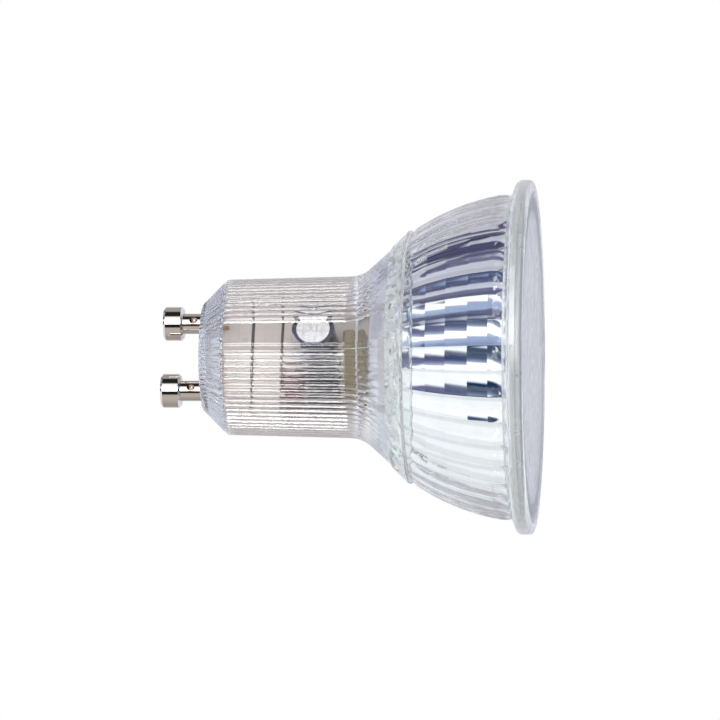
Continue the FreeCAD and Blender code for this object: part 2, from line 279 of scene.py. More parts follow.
def makeStudio():
    world = bpy.data.worlds.new("studio")
    bpy.context.scene.world = world
    world.use_nodes = True
    tree = world.node_tree
    tree.nodes.clear()
    right, up, back = cameraAxes()
    way = add(tree, "TexCoord", {}).outputs["Generated"]

    def along(axis):
        return add(tree, "VectorMath", {0: way, 1: axis}, operation="DOT_PRODUCT").outputs["Value"]

    angle = calc(tree, "ARCTAN2", along(up), along(back))
    share = remap(tree, angle, -math.pi, math.pi, 0, 1)
    # the cup's tones go by the place on the cup that mirrors a direction to the camera
    flat = Vector((back.x, back.y, 0))
    ahead = calc(tree, "ADD", along(flat.normalized()), flat.length)
    cupAngle = calc(tree, "MULTIPLY", calc(tree, "ARCTAN2", along(up), ahead), 2.0)
    lean = along((0, 0, 1))
    turn = calc(tree, "MULTIPLY", calc(tree, "SUBTRACT", lean, studio["twistLean"]), studio["twist"])
    # no turn from 45 degrees up or down, where the photo's bands run straight
    fade = calc(tree, "MAXIMUM", calc(tree, "COSINE", calc(tree, "MULTIPLY", cupAngle, 2.0)), 0.0)
    turn = calc(tree, "MULTIPLY", turn, fade)
    cupShare = remap(tree, calc(tree, "SUBTRACT", cupAngle, turn), -math.pi, math.pi, 0, 1)

    def tones(name, place=share):
        return ramp(tree, place, [((degrees + 180) / 360, tone) for degrees, tone in studio[name]])

    rays = add(tree, "LightPath", {})
    side = mixed(tree, rays.outputs["Is Singular Ray"], tones("pinTones"), tones("ribTones"))
    side = mixed(tree, rays.outputs["Is Transmission Ray"], side, tones("neckTones"))
    towardPins = remap(tree, lean, studio["leanStart"], studio["leanEnd"], 0, 1)
    towardFront = remap(tree, lean, -studio["leanStart"], -studio["leanEnd"], 0, 1)
    towardBack = remap(tree, lean, studio["backStart"], studio["backEnd"], 0, 1)
    cup = mixed(tree, towardBack, tones("cupTones", cupShare), tones("backTones", cupShare))
    tent = mixed(tree, towardPins, side, cup)
    tent = mixed(tree, towardFront, tent, studio["front"])
    matt = remap(tree, rays.outputs["Diffuse Depth"], 0, 1, 0, 1)
    tent = mixed(tree, matt, tent, studio["soft"])
    light = mixed(tree, rays.outputs["Is Camera Ray"], tent, studio["backdrop"])
    shine = add(tree, "Background", {"Color": light})
    out = tree.nodes.new("ShaderNodeOutputWorld")
    tree.links.new(shine.outputs[0], out.inputs["Surface"])
    bpy.context.scene.view_settings.view_transform = "Standard"
    bpy.context.scene.cycles.max_bounces = studio["bounces"]
    bpy.context.scene.cycles.glossy_bounces = studio["bounces"]
    bpy.context.scene.cycles.transmission_bounces = studio["bounces"]


makeStudio()
print("studio lit")


# helpers for finishes


def newFinish(name, colour, **sockets):
    finish = bpy.data.materials.new(name)
    finish.use_nodes = True
    tree = finish.node_tree
    shader = tree.nodes["Principled BSDF"]
    feed(tree, colour, shader.inputs["Base Color"])
    for socket, value in sockets.items():
        feed(tree, value, shader.inputs[socket.replace("_", " ")])
    return finish, tree, shader


def spotOf(tree, centre=(0, 0, 0), stretch=(1, 1, 1)):  # in millimetres, from a centre in metres
    held = add(tree, "TexCoord", {}).outputs["Object"]
    sockets = {"Vector": held, "Location": centre, "Scale": [mm * share for share in stretch]}
    return add(tree, "Mapping", sockets, vector_type="TEXTURE").outputs[0]


def axesOf(tree, spot):
    parts = add(tree, "SeparateXYZ", {0: spot}).outputs
    return parts[0], parts[1], parts[2]


def grain(tree, spot, fineness, detail=3.0):
    return add(tree, "TexNoise", {"Vector": spot, "Scale": fineness, "Detail": detail}).outputs[0]


def distance(tree, spot):
    return add(tree, "VectorMath", {0: spot}, operation="LENGTH").outputs["Value"]


def band(tree, value, middle, half):  # 1 within half of the middle, 0 outside
    return calc(tree, "COMPARE", value, middle, half)


def dent(tree, shader, height, depth):  # depth in millimetres
    bump = add(tree, "Bump", {"Height": height, "Distance": depth * mm})
    feed(tree, bump.outputs[0], shader.inputs["Normal"])


def tint(tree, shader, share, first, second):
    feed(tree, mixed(tree, share, first, second), shader.inputs["Base Color"])


def roughen(tree, shader, value, smooth, rough):  # noise lies mostly between 0.3 and 0.7
    feed(tree, remap(tree, value, 0.3, 0.7, smooth, rough), shader.inputs["Roughness"])


def centreOf(name):
    low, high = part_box(name)
    return [(a + b) / 2 for a, b in zip(low, high)]


def halfWidth(name):  # along X, in millimetres
    low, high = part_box(name)
    return (high[0] - low[0]) / 2 / mm


def dress(finish, *names):
    for name in names:
        slots = nodes[name].data.materials
        slots.clear()
        slots.append(finish)


# helpers for meshes


def asPiece(bm, name, finishes):
    mesh = bpy.data.meshes.new(name)
    bm.to_mesh(mesh)
    bm.free()
    for finish in finishes:
        mesh.materials.append(finish)
    piece = bpy.data.objects.new(name, mesh)
    bpy.context.scene.collection.objects.link(piece)
    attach(piece, "root")
    return piece


def spun(outline, steps, sectors):  # turns radii and heights from the +Y side: one sector, then its copies
    bm = bmesh.new()
    verts = [bm.verts.new(Vector((0, r, z)) * mm) for r, z in outline]
    edges = [bm.edges.new(pair) for pair in zip(verts, verts[1:])]
    sector = math.tau / sectors
    bmesh.ops.spin(
        bm, geom=verts + edges, cent=(0, 0, 0), axis=(0, 0, 1), dvec=(0, 0, 0),
        angle=sector, steps=steps // sectors, use_merge=False, use_duplicate=False,
    )
    bmesh.ops.spin(
        bm, geom=bm.verts[:] + bm.edges[:] + bm.faces[:], cent=(0, 0, 0), axis=(0, 0, 1), dvec=(0, 0, 0),
        angle=math.tau - sector, steps=sectors - 1, use_merge=False, use_duplicate=True,
    )
    bmesh.ops.remove_doubles(bm, verts=bm.verts[:], dist=weld)
    return bm


def joined(bm, other):  # adds a second mesh to the first
    spare = bpy.data.meshes.new("spare")
    other.to_mesh(spare)
    other.free()
    bm.from_mesh(spare)
    bpy.data.meshes.remove(spare)


def loopAt(edges, radius, z):  # the open edges that lie on a circle or polygon round the axis
    found = []
    for edge in edges:
        middle = (edge.verts[0].co + edge.verts[1].co) / 2
        level = all(abs(v.co.z - z * mm) < weld for v in edge.verts)
        if level and abs(middle.xy.length / mm - radius) < glass["loopSlack"]:
            found.append(edge)
    return found


# the mirrored reflector: bright pressed aluminium, very slightly uneven
mirror = {
    "colour": (0.98, 0.98, 0.985),
    "haze": (0.94, 0.945, 0.96),
    "hazeRange": (0.4, 0.7),  # the clouds' values between which the haze comes up
    "rough": (0.0, 0.02),
    "cloud": 0.5,  # fineness, in clouds a millimetre
    "swell": 0.35,
    "wave": 0.004,
}


def mirrorFinish():
    finish, tree, shader = newFinish("brightMirror", mirror["colour"], Metallic=1.0)
    cloud = grain(tree, spotOf(tree), mirror["cloud"])
    tint(tree, shader, remap(tree, cloud, *mirror["hazeRange"], 0, 1), mirror["colour"], mirror["haze"])
    roughen(tree, shader, cloud, *mirror["rough"])
    dent(tree, shader, grain(tree, spotOf(tree), mirror["swell"], detail=1.0), mirror["wave"])
    return finish


# the glass's finishes, in the order of its material slots: polished, with a soft skin on rim, flare and base
glassSkins = {
    "flutedGlass": {"colour": (0.985, 0.995, 0.995), "clear": 1.0, "rough": (0.0, 0.01), "wave": 0.005},
    "rimGlass": {"colour": (0.92, 0.95, 0.945), "clear": 0.85, "rough": (0.08, 0.2), "wave": 0.03},
    "shoulderGlass": {"colour": (0.9, 0.97, 0.95), "clear": 0.8, "rough": (0.02, 0.06), "wave": 0.03},
    "frostedGlass": {"colour": (0.72, 0.745, 0.83), "clear": 0.85, "rough": (0.06, 0.12), "wave": 0.01},
    "ribbedGlass": {"colour": (0.98, 0.97, 0.97), "clear": 1.0, "rough": (0.0, 0.003), "wave": 0.004},
}
glassLook = {
    "index": 1.5,
    "cloud": 1.3,  # fineness, in clouds a millimetre
    "swell": 0.3,
    "blocks": 0.9,  # blocks pressed in a millimetre of the shoulder
    "blockTilt": 0.6,
    "valleyShadeHalf": 0.06,  # share of a flute's width beside a valley that gets painted shade
    # colour of the painted shade in the valleys between flutes
    "valleyShade": (0.7, 0.72, 0.75),
}


def glassFinish(name):
    skin = glassSkins[name]
    sockets = {"IOR": glassLook["index"], "Transmission_Weight": skin["clear"]}
    finish, tree, shader = newFinish(name, skin["colour"], **sockets)
    spot = spotOf(tree)
    roughen(tree, shader, grain(tree, spot, glassLook["cloud"]), *skin["rough"])
    dent(tree, shader, grain(tree, spot, glassLook["swell"], detail=1.0), skin["wave"])
    if name == "flutedGlass":  # painted shade: a little darker where two flutes meet
        x, y, z = axesOf(tree, spot)
        turns = calc(tree, "DIVIDE", calc(tree, "ARCTAN2", x, y), math.tau / glass["flutes"])
        away = calc(tree, "PINGPONG", calc(tree, "ADD", turns, 0.5), 0.5)
        paintedShade = remap(tree, away, glassLook["valleyShadeHalf"], glassLook["valleyShadeHalf"] * 2, 1, 0)
        tint(tree, shader, paintedShade, skin["colour"], glassLook["valleyShade"])
    if name == "shoulderGlass":  # pressed in small uneven blocks
        cells = {"Vector": spot, "Scale": glassLook["blocks"]}
        cell = add(tree, "TexVoronoi", cells, distance="CHEBYCHEV").outputs["Color"]
        tilt = add(tree, "VectorMath", {0: cell, 1: (0.5, 0.5, 0.5)}, operation="SUBTRACT")
        facing = add(tree, "NewGeometry", {}).outputs["Normal"]
        sockets = {0: tilt.outputs[0], 1: [glassLook["blockTilt"]] * 3, 2: facing}
        bent = add(tree, "VectorMath", sockets, operation="MULTIPLY_ADD")
        level = add(tree, "VectorMath", {0: bent.outputs[0]}, operation="NORMALIZE")
        feed(tree, level.outputs[0], shader.inputs["Normal"])
    return finish


# the pressed glass: lengths from its axis and its front face, pairs of a radius and a height
glass = {
    "steps": 768,  # segments round: ten to a rib
    "sectors": 24,
    "sideSteps": 384,
    "windowSteps": 17,  # half the flat window
    "ribSteps": 10,
    "flutes": 38,
    "innerSteps": 152,  # segments round the hollow: four to a flute
    "facetHeights": (2.9, 4.9, 7.7, 10.8, 13.6, 17.1),  # rows of facets, mirrored from behind
    "fluteDepth": 0.35,
    "fluteValley": 0.86,  # share of a flute's half width where the valley starts to round
    "fluteEnd": 1.7,  # length of the round end at the rim
    "fluteStart": 2.95,
    "cupFront": (23.15, 2.9),
    "cupBack": (17.75, 17.1),
    "cupArc": 31.6,
    "cupRings": 26,
    "wall": 1.7,
    "ringCrowding": 1.35,  # above 1, the rings are closer near the rim
    "boreRadius": 23.4,
    "boreEdge": 0.15,
    "seatDepth": 1.6,
    "rimRadius": 25.0,
    "rimFront": 0.6,
    "rimBack": 0.9,
    "rimBackHeight": 1.45,
    "rimBackTurn": 72,  # degrees
    "rimSteps": 6,
    "throat": ((23.85, 2.5), (23.4, 2.68), (23.05, 2.86)),  # between the rim and the flutes
    "ridge": 0.12,
    "ridgeLine": ((-0.1, 0.03), (0, 0.15), (0, 0.42), (-0.12, 0.6)),
    "ridgeFoot": (-0.15, 0.7),
    "ridgeEnd": 17.75,
    "shoulderRings": (0.33, 0.66, 1),
    "shoulderBack": (15.7, 19.8),
    "step": 0.3,
    "flareFront": 19.85,
    "flareRings": (1.0, 0.9),  # shares of the flare's length from its back
    "flareBack": (13.09, 22.4),
    "frostEnd": 22.5,  # the frosted flare ends here
    "neckFront": 11.5,
    "neckBack": (10.98, 43.3),
    "neckRings": 6,
    "neckHold": 0.7,  # a ring this far from the end keeps the neck's shading straight
    "neckEdge": 0.3,  # the shading turns from neck to base between this and the next
    "neckPast": 0.09,
    "fillet": 4.5,
    "filletSteps": 14,
    "baseRing": 1.7,
    "baseEdge": 0.21,
    "baseEnd": (7.58, 46.7),
    "ribDepth": 0.2,
    "barShare": 0.4,  # the ribs that border a window are shallower than the others
    "ribStart": 20.7,
    "ribRun": 1.3,  # length over which a groove reaches its full depth
    "ribRings": 9,
    "ribRingPitch": 0.2,
    "hollowFlare": (9.5, 23.6),
    "hollowBack": (9.35, 43.0),
    "hollowFloor": (7.25, 45.1),
    "pinHole": 1.48,
    "pinHoleSteps": 40,
    "pinSpacing": 10.0,
    "loopSlack": 0.4,  # the sides of a polygon lie a little inside its circle
    "crease": 33.0,
}


def cupRadius(z, inset=0.0):
    frontR, frontZ = glass["cupFront"]
    backR, backZ = glass["cupBack"]
    rise = backZ - frontZ
    fall = backR - frontR
    chord = math.hypot(rise, fall)
    height = math.sqrt(glass["cupArc"] ** 2 - chord ** 2 / 4)
    centreZ = (frontZ + backZ) / 2 + fall / chord * height
    centreR = (frontR + backR) / 2 - rise / chord * height
    return centreR + math.sqrt((glass["cupArc"] - inset) ** 2 - (z - centreZ) ** 2)


def arc(centre, radius, start, end, steps):
    turns = [math.radians(start + (end - start) * step / steps) for step in range(steps + 1)]
    return [(centre[0] + radius * math.cos(t), centre[1] + radius * math.sin(t)) for t in turns]


def neckOutline():  # the flare rounds into the neck, which ends in a sloping base
    flareR, flareZ = glass["flareBack"]
    rootR = glass["shoulderBack"][0] - glass["step"]
    backR, backZ = glass["neckBack"]
    slope = math.atan2(rootR - flareR, flareZ - glass["shoulderBack"][1])
    taper = math.atan2(glass["neckFront"] - backR, backZ - flareZ)
    cornerZ = flareZ + (flareR - glass["neckFront"]) / (math.tan(slope) - math.tan(taper))
    cornerR = glass["neckFront"] - (cornerZ - flareZ) * math.tan(taper)
    reach = glass["fillet"] * math.tan((slope - taper) / 2)
    endZ = cornerZ + reach * math.cos(taper)
    endR = cornerR - reach * math.sin(taper)
    centre = (endR + glass["fillet"] * math.cos(taper), endZ + glass["fillet"] * math.sin(taper))
    turns = (180 + math.degrees(slope), 180 + math.degrees(taper))
    bend = arc(centre, glass["fillet"], *turns, glass["filletSteps"])
    flare = []
    for share in glass["flareRings"]:
        flare.append((flareR + (rootR - flareR) * share, flareZ - (flareZ - glass["flareFront"]) * share))
    for step in range(glass["ribRings"]):
        z = glass["ribStart"] + glass["ribRingPitch"] * step
        flare.append((flareR + (flareZ - z) * math.tan(slope), z))
    neck = []
    rings = glass["neckRings"]
    for step in range(1, rings):
        neck.append((endR + (backR - endR) * step / rings, endZ + (backZ - endZ) * step / rings))
    baseR, baseZ = glass["baseEnd"]
    hold = glass["neckHold"]
    edge = glass["baseEdge"]
    neck.append((backR + hold * math.tan(taper), backZ - hold))
    neck.append((backR, backZ - glass["neckEdge"]))
    neck += [(backR - along, backZ + along) for along in (glass["neckPast"], glass["baseRing"])]
    neck += [(baseR + edge, baseZ - edge), (baseR, baseZ)]
    return [point for point in flare if point[1] < bend[0][1]] + bend + neck


def outerOutline():
    bore = glass["boreRadius"]
    rim = glass["rimRadius"]
    front = glass["rimFront"]
    back = glass["rimBack"]
    depth = glass["fluteDepth"]
    edge = glass["boreEdge"]
    steps = glass["rimSteps"]
    outline = [(bore, glass["seatDepth"]), (bore, edge), (bore + edge, 0)]
    outline += arc((rim - front, front), front, -90, 0, steps)
    outline += arc((rim - back, glass["rimBackHeight"]), back, 0, glass["rimBackTurn"], steps)
    outline += glass["throat"]
    startZ = glass["fluteStart"]
    backR, backZ = glass["cupBack"]
    for step in range(glass["cupRings"] + 1):
        share = step / glass["cupRings"]
        z = startZ + (backZ - startZ) * share ** glass["ringCrowding"]
        outline.append((cupRadius(z) - depth * cupRadius(z) / glass["cupFront"][0], z))
    outline += [(backR + glass["ridge"] + r, backZ + z) for r, z in glass["ridgeLine"]]
    footR = backR + glass["ridgeFoot"][0]
    footZ = backZ + glass["ridgeFoot"][1]
    outline.append((footR, footZ))
    shoulderR, shoulderZ = glass["shoulderBack"]
    for share in glass["shoulderRings"]:
        outline.append((footR + (shoulderR - footR) * share, footZ + (shoulderZ - footZ) * share))
    return outline + neckOutline()


def fluteBulge(turn, z):  # share of full height, nothing outside the cup
    if not glass["fluteStart"] <= z <= glass["cupBack"][1]:
        return 0.0
    phase = abs(((turn - 90) * glass["flutes"] / 360 + 0.5) % 1 * 2 - 1)
    start = glass["fluteValley"]
    fall = phase ** 2
    if phase > start:
        past = phase - start
        fall = start ** 2 + 2 * start * past - start * past ** 2 / (1 - start)
    end = max(0.0, 1 - (z - glass["fluteStart"]) / glass["fluteEnd"])
    return max(0.0, 1 - fall - end ** 2)


def ribCut(index, z):  # share of full depth cut away, and how far the window's flat has come in
    side = index % glass["sideSteps"]
    window = glass["windowSteps"]
    run = min(1.0, max(0.0, (z - glass["ribStart"]) / glass["ribRun"]))
    if side < window or side > glass["sideSteps"] - window:
        away = min(side, glass["sideSteps"] - side) * math.tau / glass["steps"]
        half = window * math.tau / glass["steps"]
        return run, 1 - run + run * math.cos(half) / math.cos(away)
    past = min(side, glass["sideSteps"] - side) - window
    phase = past % glass["ribSteps"] / glass["ribSteps"] * 2 - 1
    share = glass["barShare"] if past < glass["ribSteps"] else 1.0
    return share * max(0.0, phase ** 2 + run - 1), 1.0


def facetScale(turn):  # brings a circle in to a flat facet for each flute
    off = ((turn - 90) * glass["flutes"] / 360 + 0.5) % 1 - 0.5
    return math.cos(math.pi / glass["flutes"]) / math.cos(off * math.tau / glass["flutes"])


def scaled(vert, scale):
    vert.co.x *= scale
    vert.co.y *= scale


def shapeOuter(verts):
    for vert in verts:
        z = vert.co.z / mm
        radius = vert.co.xy.length / mm
        turn = math.degrees(math.atan2(vert.co.y, vert.co.x))
        index = round((turn - 90) * glass["steps"] / 360)
        if z <= glass["cupBack"][1]:
            frontR, frontZ = glass["cupFront"]
            grow = glass["fluteDepth"] * cupRadius(max(z, frontZ)) / frontR
            scaled(vert, 1 + grow * fluteBulge(turn, z) / radius)
        elif glass["ridgeEnd"] < z <= glass["shoulderBack"][1]:
            scaled(vert, facetScale(turn))
        elif z > glass["ribStart"]:
            cut, chord = ribCut(index, z)
            scaled(vert, (1 - cut * glass["ribDepth"] / glass["neckFront"]) * chord)


def hollowOutline():
    outline = [(cupRadius(glass["cupFront"][1], glass["wall"]), glass["seatDepth"])]
    for z in glass["facetHeights"]:
        outline.append((cupRadius(z, glass["wall"]), z))
    return outline + [glass["hollowFlare"], glass["hollowBack"], glass["hollowFloor"]]


skinOrder = list(glassSkins) + ["mirror"]


def skinAt(z):  # which of the glass's finishes lies at a height
    if z < glass["fluteStart"]:
        return "rimGlass"
    if z < glass["cupBack"][1]:
        return "flutedGlass"
    if z < glass["ridgeEnd"]:
        return "rimGlass"
    if z < glass["shoulderBack"][1]:
        return "shoulderGlass"
    if z < glass["frostEnd"]:
        return "frostedGlass"
    if z < glass["neckBack"][1]:
        return "ribbedGlass"
    return "frostedGlass"


def outerSkin():
    bm = spun(outerOutline(), glass["steps"], glass["sectors"])
    shapeOuter(bm.verts)
    for face in bm.faces:
        face.smooth = True
        face.material_index = skinOrder.index(skinAt(face.calc_center_median().z / mm))
    return bm


def innerSkin(outline):  # its facets have the reflector's finish, so no gap shows between the two
    bm = spun(outline, glass["innerSteps"], glass["flutes"])
    for vert in bm.verts:
        if vert.co.z <= glass["cupBack"][1] * mm + weld:
            scaled(vert, facetScale(math.degrees(math.atan2(vert.co.y, vert.co.x))))
    for face in bm.faces:
        mirrored = face.calc_center_median().z < glass["cupBack"][1] * mm
        face.smooth = not mirrored
        face.material_index = skinOrder.index("mirror" if mirrored else "ribbedGlass")
    return bm


def closeSeat(bm, edges, radius):  # the lens lies on the ring between the two skins
    seat = loopAt(edges, glass["boreRadius"], glass["seatDepth"])
    seat += loopAt(edges, radius, glass["seatDepth"])
    bmesh.ops.triangle_fill(bm, use_beauty=True, edges=seat, normal=(0, 0, 1))


def closeBase(bm, edges):  # the base and the floor of the hollow, with a hole through for each pin
    holes = {-1: [], 1: []}
    for radius, z in (glass["baseEnd"], glass["hollowFloor"]):
        rings = []
        for side, walls in holes.items():
            made = bmesh.ops.create_circle(
                bm, segments=glass["pinHoleSteps"], radius=glass["pinHole"] * mm,
                matrix=Matrix.Translation(Vector((side * glass["pinSpacing"] / 2, 0, z)) * mm),
            )
            ring = list(dict.fromkeys(edge for vert in made["verts"] for edge in vert.link_edges))
            walls += ring
            rings += ring
        bmesh.ops.triangle_fill(bm, use_beauty=True, edges=loopAt(edges, radius, z) + rings, normal=(0, 0, 1))
    for walls in holes.values():
        bmesh.ops.bridge_loops(bm, edges=walls)


def makeGlass(finishes):
    inner = hollowOutline()
    bm = outerSkin()
    joined(bm, innerSkin(inner))
    openEdges = [edge for edge in bm.edges if edge.is_boundary]
    closeSeat(bm, openEdges, inner[0][0])
    closeBase(bm, openEdges)
    bmesh.ops.recalc_face_normals(bm, faces=bm.faces[:])
    for edge in bm.edges:
        if len(edge.link_faces) == 2 and edge.calc_face_angle() > math.radians(glass["crease"]):
            edge.smooth = False
    print("glass:", len(bm.faces), "faces,", sum(not e.is_manifold for e in bm.edges), "open edges")
    piece = asPiece(bm, "pressed_glass", finishes)
    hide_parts("glass_body")


mirrorLook = mirrorFinish()
makeGlass([glassFinish(name) for name in glassSkins] + [mirrorLook])
print("glass made")


# the lens: moulded plastic with a satin face and faint flow lines
lens = {
    "colour": (0.93, 0.945, 0.985),
    "streak": (0.84, 0.86, 0.93),
    "clear": 0.88,
    "index": 1.49,
    "rough": (0.22, 0.42),
    "streakStretch": (6, 1.2, 4),
    "streakFineness": 1.1,
    "streakDetail": 4.0,
    "streakRange": (0.45, 0.7),
    "swell": 0.8,
    "wave": 0.03,  # millimetres
}


def lensFinish():
    sockets = {"IOR": lens["index"], "Transmission_Weight": lens["clear"]}
    finish, tree, shader = newFinish("satinLens", lens["colour"], **sockets)
    flow = spotOf(tree, stretch=lens["streakStretch"])
    streaks = grain(tree, flow, lens["streakFineness"], lens["streakDetail"])
    tint(tree, shader, remap(tree, streaks, *lens["streakRange"], 0, 1), lens["colour"], lens["streak"])
    roughen(tree, shader, streaks, *lens["rough"])
    dent(tree, shader, grain(tree, spotOf(tree), lens["swell"]), lens["wave"])
    return finish


# the contact pins: turned, nickel plated, crimped on a copper wire
pins = {
    "nickel": (0.72, 0.68, 0.64),
    "copper": (0.8, 0.56, 0.42),
    "rough": (0.04, 0.11),
    "ringStretch": (30, 30, 1),  # the lathe's fine rings
    "ringFineness": 4.0,
    "ringDepth": 0.003,
    "crimpHeight": 48.2,
    "crimpDepth": 1.45,
    "crimpRange": (0.6, 0.4),  # from nickel to copper round the crimp's middle
    "beadRadius": 0.42,
    "beadSteps": (32, 16),
    "beadFineness": 5.0,
    "beadRough": (0.15, 0.35),
    "beadRelief": 0.02,
}


def pinFinish(name):
    finish, tree, shader = newFinish("nickelPlate_" + name, pins["nickel"], Metallic=1.0)
    turning = grain(tree, spotOf(tree, stretch=pins["ringStretch"]), pins["ringFineness"])
    roughen(tree, shader, turning, *pins["rough"])
    dent(tree, shader, turning, pins["ringDepth"])
    crimp = (centreOf(name)[0], -pins["crimpDepth"] * mm, pins["crimpHeight"] * mm)
    away = distance(tree, spotOf(tree, crimp))
    tint(tree, shader, remap(tree, away, *pins["crimpRange"], 0, 1), pins["nickel"], pins["copper"])
    return finish


# the wire's end in each pin's crimp
def makeCrimp(name, side):
    bm = bmesh.new()
    centre = Vector((side * glass["pinSpacing"] / 2, -pins["crimpDepth"], pins["crimpHeight"])) * mm
    aroundSteps, upSteps = pins["beadSteps"]
    bmesh.ops.create_uvsphere(
        bm, u_segments=aroundSteps, v_segments=upSteps, radius=pins["beadRadius"] * mm,
        matrix=Matrix.Translation(centre),
    )
    for face in bm.faces:
        face.smooth = True
    finish, tree, shader = newFinish("crimpedCopper_" + name, pins["copper"], Metallic=1.0)
    drawn = grain(tree, spotOf(tree), pins["beadFineness"])
    tint(tree, shader, drawn, pins["copper"], pins["nickel"])
    roughen(tree, shader, drawn, *pins["beadRough"])
    dent(tree, shader, drawn, pins["beadRelief"])
    asPiece(bm, name, [finish])


# the driver board: cream laminate with tracks, soldered pads and two dark lines, in millimetres
board = {
    "laminate": (0.86, 0.8, 0.76),
    "weave": (0.78, 0.72, 0.68),
    "weaveStretch": (1, 1, 3),
    "weaveFineness": 2.5,
    "track": (0.8, 0.74, 0.7),
    "trackLayout": {"Scale": 1.0, "Mortar Size": 0.09, "Brick Width": 3.4, "Row Height": 1.9},
    "trackShift": 0.4,
    "solder": (0.72, 0.72, 0.7),
    "padFineness": 0.38,
    "padRange": (0.18, 0.15),  # a pad's edge, as distances from its middle
    "rough": (0.5, 0.2),  # laminate and solder
    "relief": 0.04,
    "dark": (0.07, 0.06, 0.06),
    "darkLines": ((39.8, 0.22), (35.6, 0.2)),  # height and half width
    "darkReach": 7.0,
}


def boardFinish():
    finish, tree, shader = newFinish("creamLaminate", board["laminate"])
    spot = spotOf(tree)
    x, y, z = axesOf(tree, spot)
    flat = add(tree, "CombineXYZ", {0: x, 1: z}).outputs[0]
    weave = grain(tree, spotOf(tree, stretch=board["weaveStretch"]), board["weaveFineness"])
    colour = mixed(tree, weave, board["laminate"], board["weave"])
    layout = {"Vector": flat, **board["trackLayout"]}
    tracks = add(tree, "TexBrick", layout, offset=board["trackShift"]).outputs[1]
    colour = mixed(tree, tracks, colour, board["track"])
    pads = add(tree, "TexVoronoi", {"Vector": flat, "Scale": board["padFineness"]}).outputs[0]
    onPad = remap(tree, pads, *board["padRange"], 0, 1)
    colour = mixed(tree, onPad, colour, board["solder"])
    inside = band(tree, x, 0.0, board["darkReach"])
    for height, half in board["darkLines"]:
        onLine = calc(tree, "MULTIPLY", band(tree, z, height, half), inside)
        colour = mixed(tree, onLine, colour, board["dark"])
    feed(tree, colour, shader.inputs["Base Color"])
    feed(tree, remap(tree, onPad, 0, 1, *board["rough"]), shader.inputs["Roughness"])
    dent(tree, shader, calc(tree, "ADD", tracks, onPad), board["relief"])
    return finish


# the smoothing capacitor: drawn can with scored vent, shrink sleeve folded over its end
capacitor = {
    "can": (0.93, 0.93, 0.94),
    "brushed": (0.8, 0.81, 0.83),
    "navy": (0.016, 0.026, 0.075),
    "stripe": (0.45, 0.52, 0.66),
    "brushStretch": (5, 5, 1),
    "brushFineness": 3.0,
    "canRough": (0.16, 0.34),
    "foldRange": (2.35, 2.39),  # the sleeve covers the end outside this radius
    "foldRelief": 0.12,
    "stripeTurn": 2.2,  # radians round the can
    "stripeHalf": 0.35,
    "coat": 0.3,
    "wrinkleStretch": (1, 3, 1),
    "wrinkleFineness": 0.9,
    "sleeveRough": (0.22, 0.4),
    "wrinkleRelief": 0.08,
}


def canFinish():
    finish, tree, shader = newFinish("drawnCan", capacitor["can"])
    centre = centreOf("capacitor_can")
    away = distance(tree, spotOf(tree, centre, stretch=(1, endless, 1)))
    brushed = grain(tree, spotOf(tree, centre, capacitor["brushStretch"]), capacitor["brushFineness"])
    metal = mixed(tree, brushed, capacitor["can"], capacitor["brushed"])
    folded = remap(tree, away, *capacitor["foldRange"], 0, 1)
    tint(tree, shader, folded, metal, capacitor["navy"])
    feed(tree, remap(tree, folded, 0, 1, 1, 0), shader.inputs["Metallic"])
    roughen(tree, shader, brushed, *capacitor["canRough"])
    dent(tree, shader, folded, capacitor["foldRelief"])
    return finish


def sleeveFinish():
    finish, tree, shader = newFinish("navySleeve", capacitor["navy"], Coat_Weight=capacitor["coat"])
    centre = centreOf("capacitor_sleeve")
    x, y, z = axesOf(tree, spotOf(tree, centre))
    turn = calc(tree, "ARCTAN2", z, x)
    onStripe = band(tree, turn, capacitor["stripeTurn"], capacitor["stripeHalf"])
    tint(tree, shader, onStripe, capacitor["navy"], capacitor["stripe"])
    wrinkles = grain(tree, spotOf(tree, centre, capacitor["wrinkleStretch"]), capacitor["wrinkleFineness"])
    roughen(tree, shader, wrinkles, *capacitor["sleeveRough"])
    dent(tree, shader, wrinkles, capacitor["wrinkleRelief"])
    return finish


# the smaller parts of the driver, each with two colours in a fine or coarse pattern
smallParts = {
    "ferriteGrey": {
        "colours": ((0.02, 0.02, 0.022), (0.05, 0.05, 0.054)),
        "fine": 6.0, "rough": (0.4, 0.7), "relief": 0.02,
    },
    "blackSleeve": {
        "colours": ((0.012, 0.012, 0.014), (0.035, 0.035, 0.04)),
        "fine": 1.2, "rough": (0.3, 0.5), "relief": 0.1,
    },
    "wineEpoxy": {
        "colours": ((0.09, 0.008, 0.016), (0.14, 0.016, 0.026)),
        "fine": 0.7, "rough": (0.12, 0.28), "relief": 0.25,
    },
    "tanPlastic": {
        "colours": ((0.32, 0.27, 0.14), (0.4, 0.34, 0.2)),
        "fine": 1.6, "rough": (0.3, 0.48), "relief": 0.04,
    },
    "bareCopper": {
        "colours": ((0.72, 0.38, 0.22), (0.5, 0.24, 0.13)),
        "fine": 2.2, "rough": (0.15, 0.35), "relief": 0.02,
    },
    "whiteInsulation": {
        "colours": ((0.84, 0.84, 0.82), (0.76, 0.76, 0.74)),
        "fine": 2.0, "rough": (0.35, 0.5), "relief": 0.03,
    },
}


def smallFinish(name, stretch=(1, 1, 1), **sockets):
    part = smallParts[name]
    finish, tree, shader = newFinish(name, part["colours"][0], **sockets)
    pattern = grain(tree, spotOf(tree, stretch=stretch), part["fine"])
    tint(tree, shader, pattern, *part["colours"])
    roughen(tree, shader, pattern, *part["rough"])
    dent(tree, shader, pattern, part["relief"])
    return finish


